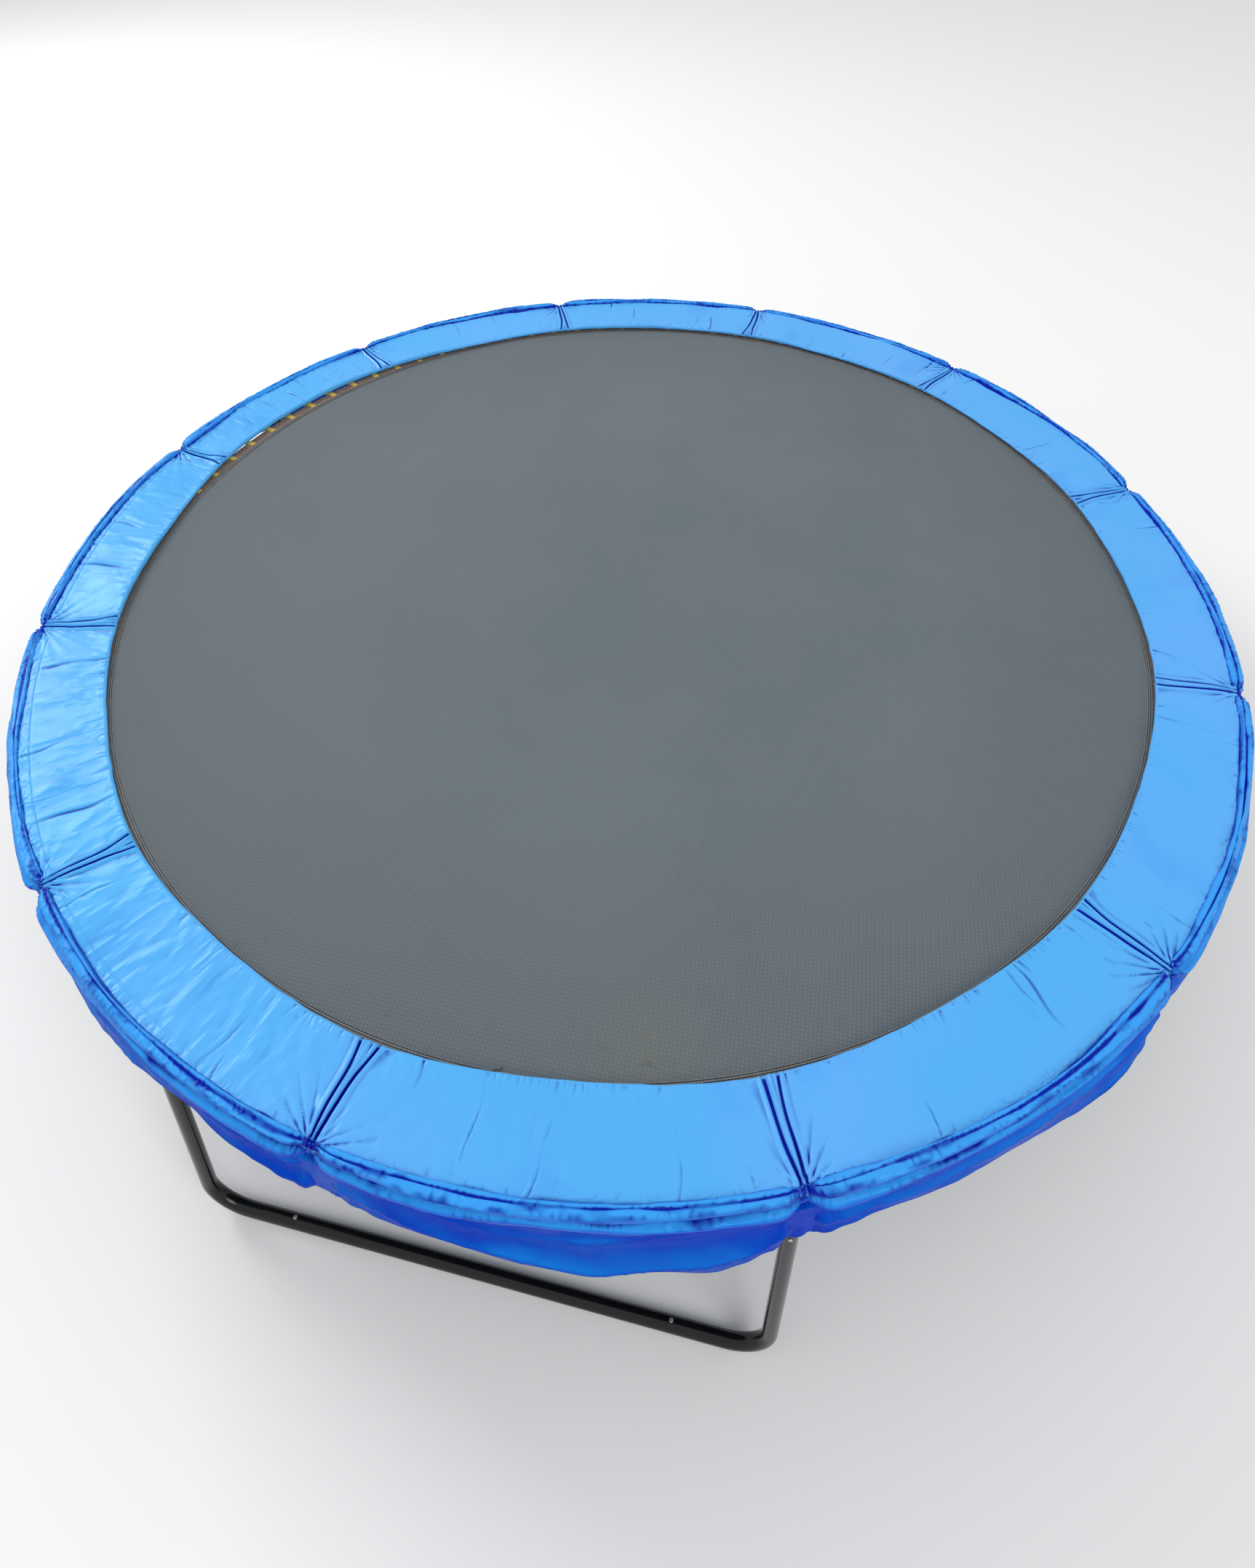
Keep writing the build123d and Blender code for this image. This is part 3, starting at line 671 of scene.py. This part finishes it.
def pad_panel(panel, material):
    """One foam section of the pad in its cover: a closed, crowned form from seam to seam."""
    angle = panel_angles(panel)[:, None]
    near, far = np.linspace(0, 0.12, 10, endpoint=False), np.linspace(0.8, 1, 24)
    top_s = np.concatenate([near, np.linspace(0.12, 0.8, 26, endpoint=False), far])[None, :]
    inner = pad_inner(angle)
    outer = SKIRT_R - 0.012
    radius = inner + (outer - inner) * top_s
    slope = PAD_RISE * (radius - PAD_IN) / (PAD_OUT - PAD_IN)
    raised = pad_surface(angle, top_s, radius)
    top = PAD_TOP_IN + slope + raised
    # the rounded inner edge, from the underside up to the top
    turn = np.linspace(-pi / 2, pi / 2, 9)[None, 1:-1]
    edge_r = inner - 0.0085 * np.cos(turn)
    drop = top[:, :1] - (PAD_LOW + 0.0015)
    edge_z = PAD_LOW + 0.0015 + drop * (0.5 + 0.5 * np.sin(turn))
    under_s = np.linspace(1, 0, 12)[None, :]
    under_r = inner + (outer - inner) * under_s
    under_z = PAD_LOW + PAD_RISE * (under_r - PAD_IN) / (PAD_OUT - PAD_IN)
    under_z = under_z + 0.0012 * ripple(angle / 360, under_s * 4, 160, 21) + 0.0015
    radius = np.concatenate([under_r, edge_r, radius], 1)
    height = np.concatenate([under_z, edge_z, top], 1)
    points = around(radius, angle, height)
    rows, columns = radius.shape
    faces = grid_faces(rows, columns, True)
    faces.append(list(range(columns)))
    faces.append(list(range((rows - 1) * columns, rows * columns))[::-1])
    faces = [face[::-1] for face in faces]
    piece = make_piece(f"pad_panel_{panel + 1:02d}", points, faces, material, 2)
    store(piece, "fall", np.zeros(rows * columns))
    shade = np.zeros((rows, columns))
    # painted shade in the cover's folds and in the crease beside its rolled edge
    shade[:, columns - raised.shape[1]:] = np.maximum(hollows(raised), edge_shade(angle, top_s))
    store(piece, "painted_fold_shade", shade)
    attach(piece, "frame")
    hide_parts(f"pad_foam_{panel + 1:02d}")
    if panel == 0:
        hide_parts("pad_cover_top", "pad_cover_base")
    return piece


# the rolled edge in section: distance from the skirt's line, height above the pad's top corner,
# and how much painted shade darkens it, most in its folds
ROLL = ((-0.036, -0.016, 1.0), (-0.031, -0.005, 0.9), (-0.026, 0.006, 0.1), (-0.020, 0.0105, 0.0),
        (-0.0145, 0.0065, 0.75), (-0.009, 0.0085, 0.1), (-0.001, 0.0075, 0.1), (0.004, 0.001, 0.3),
        (0.001, -0.008, 0.7), (-0.008, -0.012, 1.0), (0.003, -0.0160, 0.2), (0.013, -0.021, 0.0),
        (0.015, -0.030, 0.2), (0.006, -0.040, 0.7), (0.004, -0.052, 0.6))


def hem_drop(angle):
    """How far the skirt hangs at an angle."""
    knots = np.array([(panel + f, drop) for panel, drops in enumerate(SKIRT_DROPS)
                      for f, drop in zip(HEM_FRACTIONS, (SEAM_DROP, *drops))])
    at = ((angle - SEAM) / PANEL) % PANELS
    ends = np.append(knots[:, 0], PANELS)
    i = np.clip(np.searchsorted(ends, at, "right") - 1, 0, len(knots) - 1)
    f = (at - ends[i]) / (ends[i + 1] - ends[i])
    low, high = knots[i, 1], knots[(i + 1) % len(knots), 1]
    return low + (high - low) * smooth(f)


def post_reach(angle, height):
    """Radius that the cloth needs to pass outside the nearest leg post."""
    off = (angle - POST + POST_STEP / 2) % POST_STEP - POST_STEP / 2
    away = np.radians(off) * RING_R
    spare = TUBE_R + POST_SPARE
    out = np.sqrt(np.clip(spare**2 - (away * 0.8) ** 2, 0, None))
    foot = (RAIL_Z - height) * POST_LEAN
    return np.where(np.abs(away * 0.8) < spare, RING_R + foot + out, 0)


SWAG = 0.012  # depth of the slow bows in the hanging cloth
FLUTE, FINE_FLUTE = 0.008, 0.0018
GATHER_PLEAT = 0.006  # of the pleats that run down from each seam
FLARE = 0.012  # how far the hem stands out from the roll
SKIRT_THICK = 0.0011


def skirt_panel(panel, material):
    """One panel of the skirt: rolled edge, a second fold under it, and the cloth that hangs below."""
    angle = panel_angles(panel)[:, None]
    turns = angle / 360
    flat_turns = turns[:, 0]
    t = (angle - SEAM - PANEL * panel) / PANEL
    d = seam_distance(angle, SKIRT_R)
    number = seam_number(angle)
    gather = np.exp(-((d / 0.034) ** 2))[:, 0]
    corner_z = PAD_TOP_IN + PAD_RISE
    count = len(ROLL)
    knots = np.repeat(np.array(ROLL)[:, :, None], len(gather), 2)
    level = np.arange(count)[:, None]
    wobble = ripple(flat_turns[None, :], level * 1.7, 190, 31)
    broad = ripple(flat_turns[None, :], level * 0.6, 60, 32)
    crumple = ridge(2.0 * ripple(flat_turns[None, :], level * 1.3, 240, 36)) - 0.35
    knots[:, :2] *= (1 - 0.5 * gather) * (1 + 0.3 * ripple(flat_turns, 0 * flat_turns, 34, 37))
    pleat = np.sin(d[:, 0] / 0.0031 + number[:, 0]) * np.exp(-np.abs(d[:, 0]) / 0.03)
    knots[:, 0] += 0.0018 * wobble + 0.0048 * broad - 0.017 * gather + 0.002 * pleat
    knots[:, 1] += 0.0018 * np.roll(wobble, 3, 0) + 0.0042 * np.roll(broad, 2, 0) - 0.008 * gather
    knots[:, 1] += 0.0030 * crumple + 0.0028 * pleat
    # painted shade along the roll, deeper where it is gathered and crumpled
    knots[:, 2] += 0.4 * wobble + 0.5 * gather + 0.35 * crumple
    roll = curve_through(knots, 48)
    roll_r, roll_z, roll_shade = roll[:, 0].T, roll[:, 1].T, np.clip(roll[:, 2].T, 0, 1)
    # the hanging cloth, its hem wavy
    drop = hem_drop(angle) + 0.004 * ripple(turns, 0 * turns, 80, 33)
    q = np.linspace(0, 1, 34)[None, 1:]
    start_r, start_z = roll_r[:, -1:], roll_z[:, -1:]
    fall_z = start_z - q * (drop + start_z)
    warp = 0.22 * np.sin(tau * t + panel) + 0.12 * ripple(turns, q * 2, 50, 38)
    swag = ridge(1.55 * q + warp + 0.35 * panel) - 0.5
    swag_size = SWAG * np.clip((drop - 0.1) / 0.15, 0.25, 1.3) * smooth(q * 3)
    spread = 0.012 + 0.05 * q
    pleats = np.sin(d / (0.0042 + 0.006 * q) + 1.5 * number) * np.exp(-np.abs(d) / spread)
    flutes = ripple(turns, q * 1.5, 90, 34) * FLUTE + ripple(turns, q * 4, 170, 35) * FINE_FLUTE
    fall_r = start_r + FLARE * q + swag * swag_size + (GATHER_PLEAT * pleats + flutes) * smooth(q * 2.5)
    radius = SKIRT_R + np.concatenate([roll_r, fall_r], 1)
    height = corner_z + np.concatenate([roll_z, fall_z], 1)
    below = height < corner_z - SKIRT_FREE
    radius = np.where(below, np.maximum(radius, SKIRT_R - 0.002), radius)
    reach = np.where(below, post_reach(angle, height), 0)
    radius = np.maximum(radius, reach)
    points = around(radius, angle, height)
    rows, columns = radius.shape
    name = f"skirt_panel_{panel + 1:02d}"
    piece = make_piece(name, points, grid_faces(rows, columns), material)
    depth = (corner_z - 0.012 - height) / 0.07
    store(piece, "fall", np.clip(0.12 + depth, 0.1, 1))
    # painted shade along the roll's folds and in the skirt's fold valleys
    store(piece, "painted_fold_shade", np.concatenate([roll_shade, hollows(radius[:, roll_r.shape[1]:], 9, 0.008)], 1))
    thicken(piece, SKIRT_THICK)
    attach(piece, "frame")
    if panel == 0:
        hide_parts("pad_skirt", "pad_edge_roll")
    return piece


# ---------------------------------------------------------------- mat, hem, loops and stitches


def mat_height(radius):
    """Height of the mat's mid-surface: a shallow dish inside its hem."""
    return MAT_Z - MAT_SAG * (1 - np.minimum(radius / HEM_IN, 1) ** 2) ** 0.9


MAT_TUCK = 0.02  # of the mat's edge into its hem


def mat_bed(material):
    """The woven bed in one sheet, its edge tucked into the hem."""
    middle = np.linspace(0.012, HEM_IN * 0.9, 56)
    radius = np.concatenate([middle, np.linspace(HEM_IN * 0.9, HEM_IN + MAT_TUCK, 14)[1:]])
    angle = np.linspace(0, 360, 192, endpoint=False)
    grid = around(radius[:, None], angle[None, :], mat_height(radius)[:, None])
    rows, columns = len(radius), len(angle)
    points = np.concatenate([grid.reshape(-1, 3), [[0, 0, mat_height(0.0)]]])
    faces = grid_faces(rows, columns, True)
    faces += [[rows * columns, (c + 1) % columns, c] for c in range(columns)]
    piece = make_piece("mat_bed", points, faces, material)
    thicken(piece, MAT_HIGH - MAT_LOW)
    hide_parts("jump_mat")
    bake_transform(piece)
    return piece


def mat_hem_band(material):
    """The folded hem: a soft-edged band, thinner at its inner lip."""
    half = (HEM_HIGH - HEM_LOW) / 2
    width = HEM_OUT - HEM_IN
    section = [(0.0, 0.45), (0.0015, 0.8), (0.006, 0.97), (0.02, 1.0), (0.035, 0.94), (0.05, 1.0),
               (width - 0.006, 1.0), (width - 0.001, 0.7), (width, 0.0)]
    upper = [(x, y * half) for x, y in section]
    lower = [(x, -y * half) for x, y in section[::-1][1:]]
    loop = np.array(upper + lower)
    angle = np.linspace(0, 360, 768, endpoint=False)[:, None]
    lift = 0.0004 * ripple(angle / 360, loop[None, :, 0] * 40, 380, 51)
    points = around(HEM_IN + loop[None, :, 0], angle, MAT_Z + loop[None, :, 1] + lift)
    rows, columns = points.shape[:2]
    faces = grid_faces(rows, columns, True)
    last = (rows - 1) * columns
    faces += [[last + c, last + (c + 1) % columns, (c + 1) % columns, c] for c in range(columns)]
    piece = make_piece("mat_hem_band", points, faces, material)
    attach(piece, "mat_edge")
    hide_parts("mat_hem")
    return piece


STITCH_ROWS = (0.0030, 0.0095, 0.0165)  # from the hem's inner edge


def stitch_rows(material):
    """Three rows of lockstitch around the hem, as raised thread dashes, and one loose thread end."""
    parts = []
    top = HEM_HIGH + 0.0003
    for row, inset in enumerate(STITCH_ROWS):
        radius = HEM_IN + inset
        count = int(tau * radius / 0.0085)
        for i in range(count):
            middle = 360 * (i + 0.3 * row) / count
            half = 360 * 0.42 / count
            steps = np.array([-half, -half * 0.6, half * 0.6, half])
            spots = around(radius, middle + steps, top + np.array([-0.0008, 0.0005, 0.0005, -0.0008]))
            parts.append(tube(spots, 0.0010, 4))
    tail = curve_through(TAIL, 12)
    parts.append(tube(np.array([TAIL_AT]) + tail, 0.0009, 5))
    piece_points, faces = merge(parts)
    piece = make_piece("hem_stitching", piece_points, faces, material)
    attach(piece, "mat_edge")
    return piece


LOOP_THICK, LOOP_WIDE, LOOP_LONG = 0.0012, 0.0245, 0.047
TIE_THICK, TIE_HALF = 0.0014, 0.0095


def webbing_loops(material):
    """Yellow webbing loops: each strip runs over the hem, round a V-ring's bar and back under."""
    inner = LOOP_HALF - LOOP_THICK / 2
    turn = np.linspace(pi / 2, -pi / 2, 9)
    start = BAR_R - LOOP_LONG
    over = [(start, inner + 0.0002), (start + 0.004, inner + 0.0006), (start + 0.02, inner + 0.0003)]
    bend = [(BAR_R + inner * cos(a), inner * sin(a)) for a in turn]
    under = [(x, -y) for x, y in over[::-1]]
    line = np.array(over + bend + under)
    across = np.array([-0.5, -0.3, 0.0, 0.3, 0.5]) * LOOP_WIDE
    rng = np.random.default_rng(61)
    parts = []
    for i in range(SPRINGS):
        skew = rng.uniform(-0.0012, 0.0012)
        x = np.repeat(line[:, :1], len(across), 1)
        y = across[None, :] + skew * (line[:, :1] - start) / 0.05
        z = MAT_Z + np.repeat(line[:, 1:], len(across), 1)
        points = np.stack([x, y, z], -1).reshape(-1, 3)
        parts.append((turned(points, PITCH * (i + 0.5)), grid_faces(len(line), len(across))))
    points, faces = merge(parts)
    piece = make_piece("yellow_webbing_loops", points, faces, material)
    thicken(piece, LOOP_THICK)
    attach(piece, "mat_edge")
    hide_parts("webbing_loops")
    return piece


# ---------------------------------------------------------------- springs and ties


COIL_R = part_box("springs_1")[1].z - (RAIL_TOP + WIRE + 0.0004)
COIL_FROM = TIP_R + 0.013  # nearest and furthest that the coil comes to the ring's axis
COIL_TO = RING_R - 0.027


def spring_mesh():
    """A close-wound extension spring on +X with its two hooks."""
    low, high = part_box("springs_1")
    axis_z = high.z - COIL_R
    hook = axis_z - MAT_Z
    coil = np.arange(COIL_FROM, COIL_TO, WIRE * 2 / 4)
    turn = np.linspace(0, tau, 12, endpoint=False)
    phase = (coil[:, None] / (2 * WIRE) - turn[None, :] / tau) % 1
    taper = smooth((coil - COIL_FROM) / 0.008 + 0.35) * smooth((COIL_TO - coil) / 0.008 + 0.35)
    core = (COIL_R - WIRE) * taper[:, None]
    r = core + WIRE * np.sqrt(np.clip(1 - (2 * phase - 1) ** 2, 0.04, 1))
    x = np.broadcast_to(coil[:, None], r.shape)
    body = np.stack([x, r * np.cos(turn), axis_z + r * np.sin(turn)], -1)
    faces = grid_faces(len(coil), 12, True)
    faces.append(list(range(12)))
    faces.append(list(range((len(coil) - 1) * 12, len(coil) * 12))[::-1])
    faces = [f[::-1] for f in faces]
    outer = [(COIL_TO - 0.002, 0, axis_z + 0.004), (COIL_TO + 0.004, 0, axis_z), (RING_R - 0.009, 0, axis_z),
             (RING_R - 0.004, 0, axis_z - 0.0008), (RING_R - 0.0008, 0, axis_z - 0.004),
             (RING_R, 0, axis_z - 0.009), (RING_R, 0, axis_z - 0.014)]
    sweep = [(TIP_R + hook * cos(a), 0, MAT_Z + hook * sin(a)) for a in np.linspace(pi / 2, 3 * pi / 2, 9)]
    inner = [(COIL_FROM + 0.002, 0, axis_z + 0.003), (COIL_FROM - 0.004, 0, axis_z), *sweep,
             (TIP_R + 0.007, 0, MAT_Z - hook)]
    return merge([(body, faces), tube(outer, WIRE, 8), tube(inner, WIRE, 8)])


def springs(material):
    """All the springs, each stretched between its hole in the rail and its V-ring."""
    points, faces = spring_mesh()
    for i in range(SPRINGS):
        angle = PITCH * (i + 0.5)
        piece = make_piece(f"spring_{i + 1:02d}", turned(points, angle), faces, material)
        if i % 12 == 0:
            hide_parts(f"springs_{i // 12 + 1}")
        start = around(RING_R, angle, MAT_Z)
        end = around(TIP_R, angle, MAT_Z)
        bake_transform(piece)


def pad_ties(material):
    """Elastic bands from the pad down around the rails, one beside each seam."""
    reach = TUBE_R + 0.0013
    turn = np.linspace(0, -pi, 17)
    line = [(RING_R + reach, RAIL_Z + up) for up in (0.043, 0.03, 0.012)]
    line += [(RING_R + reach * cos(a), RAIL_Z + reach * sin(a)) for a in turn]
    line += [(x - 2 * reach, z) for x, z in line[2::-1]]
    line = np.array(line)
    across = np.linspace(-TIE_HALF, TIE_HALF, 7)
    rng = np.random.default_rng(71)
    parts = []
    for i in range(PANELS):
        curl = rng.uniform(-0.0015, 0.0015)
        x = line[:, :1] + 0.0004 * np.cos(across / TIE_HALF * pi)[None, :]
        y = across[None, :] * (1 - 0.08 * np.sin(np.linspace(0, pi, len(line)))[:, None]) + curl
        z = np.repeat(line[:, 1:], len(across), 1)
        x, y = np.broadcast_arrays(x, y)
        points = np.stack([x, y, z], -1).reshape(-1, 3)
        parts.append((turned(points, SEAM + PANEL * i + PITCH), grid_faces(len(line), len(across))))
    points, faces = merge(parts)
    piece = make_piece("elastic_ties", points, faces, material)
    thicken(piece, TIE_THICK)
    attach(piece, "frame")
    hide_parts("pad_ties")
    return piece


# ---------------------------------------------------------------- light, floor and camera

REFERENCE_Z = PAD_TOP_IN  # the plane that the camera's place is measured from
VIEW_TURN = 12.5  # degrees, from the object's front round to the camera's side
VIEW_BACK = 1.3445  # camera to the axis, in pad radii
VIEW_UP = 1.1845  # camera above the reference plane, in pad radii
VIEW_PITCH = 0.6323
VIEW_ROLL = -0.00965
SENSOR = 36.0  # millimetres
LENS = 22.602  # millimetres
LENS_SHIFT = 0.2027  # of the picture below the lens axis, as a share of its height


def camera():
    """The camera at the photograph's viewing angle."""
    data = bpy.data.cameras.new("camera")
    data.sensor_width = SENSOR
    data.lens = LENS
    data.shift_y = -LENS_SHIFT
    data.clip_start, data.clip_end = 0.05, 200
    ahead = Vector((0, cos(VIEW_PITCH), -sin(VIEW_PITCH)))
    right, up = Vector((1, 0, 0)), Vector((0, sin(VIEW_PITCH), cos(VIEW_PITCH)))
    x_axis = right * cos(VIEW_ROLL) + up * sin(VIEW_ROLL)
    y_axis = up * cos(VIEW_ROLL) - right * sin(VIEW_ROLL)
    turn = Matrix.Rotation(radians(VIEW_TURN), 4, "Z")
    axes = Matrix((x_axis, y_axis, -ahead)).transposed().to_4x4()
    place = Matrix.Translation((0.0, -VIEW_BACK * SKIRT_R, REFERENCE_Z + VIEW_UP * SKIRT_R))
    obj = bpy.data.objects.new("camera", data)
    obj.matrix_world = turn @ place @ axes
    bpy.context.scene.collection.objects.link(obj)
    bpy.context.scene.camera = obj


def lamp(name, place, size, power, colour=(1, 1, 1)):
    """A soft rectangular light aimed at the mat."""
    data = bpy.data.lights.new(name, "AREA")
    data.shape = "RECTANGLE"
    data.size, data.size_y = size
    data.energy = power
    data.color = colour
    obj = bpy.data.objects.new(name, data)
    aim = Vector((0, 0, PAD_LOW)) - Vector(place)
    obj.location = place
    obj.rotation_euler = aim.to_track_quat("-Z", "Y").to_euler()
    bpy.context.scene.collection.objects.link(obj)


def studio():
    """A pale floor, a white surround and two soft lights."""
    world = bpy.data.worlds.new("surround")
    bpy.context.scene.world = world
    world.use_nodes = True
    world.node_tree.nodes["Background"].inputs["Color"].default_value = (1, 1, 1, 1)
    world.node_tree.nodes["Background"].inputs["Strength"].default_value = 0.72
    lamp("key light", (-11.5, 5.0, 10.5), (7.0, 7.0), 1150)
    lamp("fill light", (9.0, -9.0, 10.0), (8.0, 8.0), 650)
    bpy.context.scene.view_settings.view_transform = "Standard"
    floor_material = Nodes("pale floor")
    floor_material.set(Base_Color=(0.9, 0.9, 0.9, 1), Roughness=0.9)
    mesh = bpy.data.meshes.new("floor")
    reach = 60.0
    corners = [(-reach, -reach, 0), (reach, -reach, 0), (reach, reach, 0), (-reach, reach, 0)]
    mesh.from_pydata(corners, [], [(0, 1, 2, 3)])
    mesh.materials.append(floor_material.material)
    floor = bpy.data.objects.new("floor", mesh)
    bpy.context.scene.collection.objects.link(floor)


# ---------------------------------------------------------------- the scene


def dress(material, *names):
    """Gives CAD nodes that stay in view a better material."""
    for name in names:
        for material_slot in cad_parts[name].material_slots:
            material_slot.material = material


camera()
studio()
black = coated_steel_material()
zinc = bright_steel_material("zinc screws", (0.62, 0.62, 0.6, 1), 0.3)
wire = bright_steel_material("galvanised wire", (0.72, 0.73, 0.74, 1), 0.28)
for number in range(1, 9):
    dress(black, f"top_rail_{number}", f"leg_socket_{number}", f"leg_upright_{number}")
for number in range(1, 5):
    dress(black, f"base_tube_{number}")
dress(zinc, "socket_screws", "base_screws")
dress(wire, "v_rings")

pad_vinyl = vinyl_material("pad vinyl", 0.12, 1.4)
skirt_vinyl = vinyl_material("skirt vinyl", 0.0, 1.3)
for panel in range(PANELS):
    pad_panel(panel, pad_vinyl)
for panel in range(PANELS):
    skirt_panel(panel, skirt_vinyl)
mat_hem_band(hem_material())
mat_bed(mat_material())
stitch_rows(thread_material())
webbing_loops(webbing_material("yellow webbing", (0.50, 0.33, 0.03, 1), (0.85, 0.66, 0.10, 1)))
springs(wire)
pad_ties(webbing_material("black elastic", (0.012, 0.012, 0.013, 1), (0.04, 0.04, 0.043, 1)))
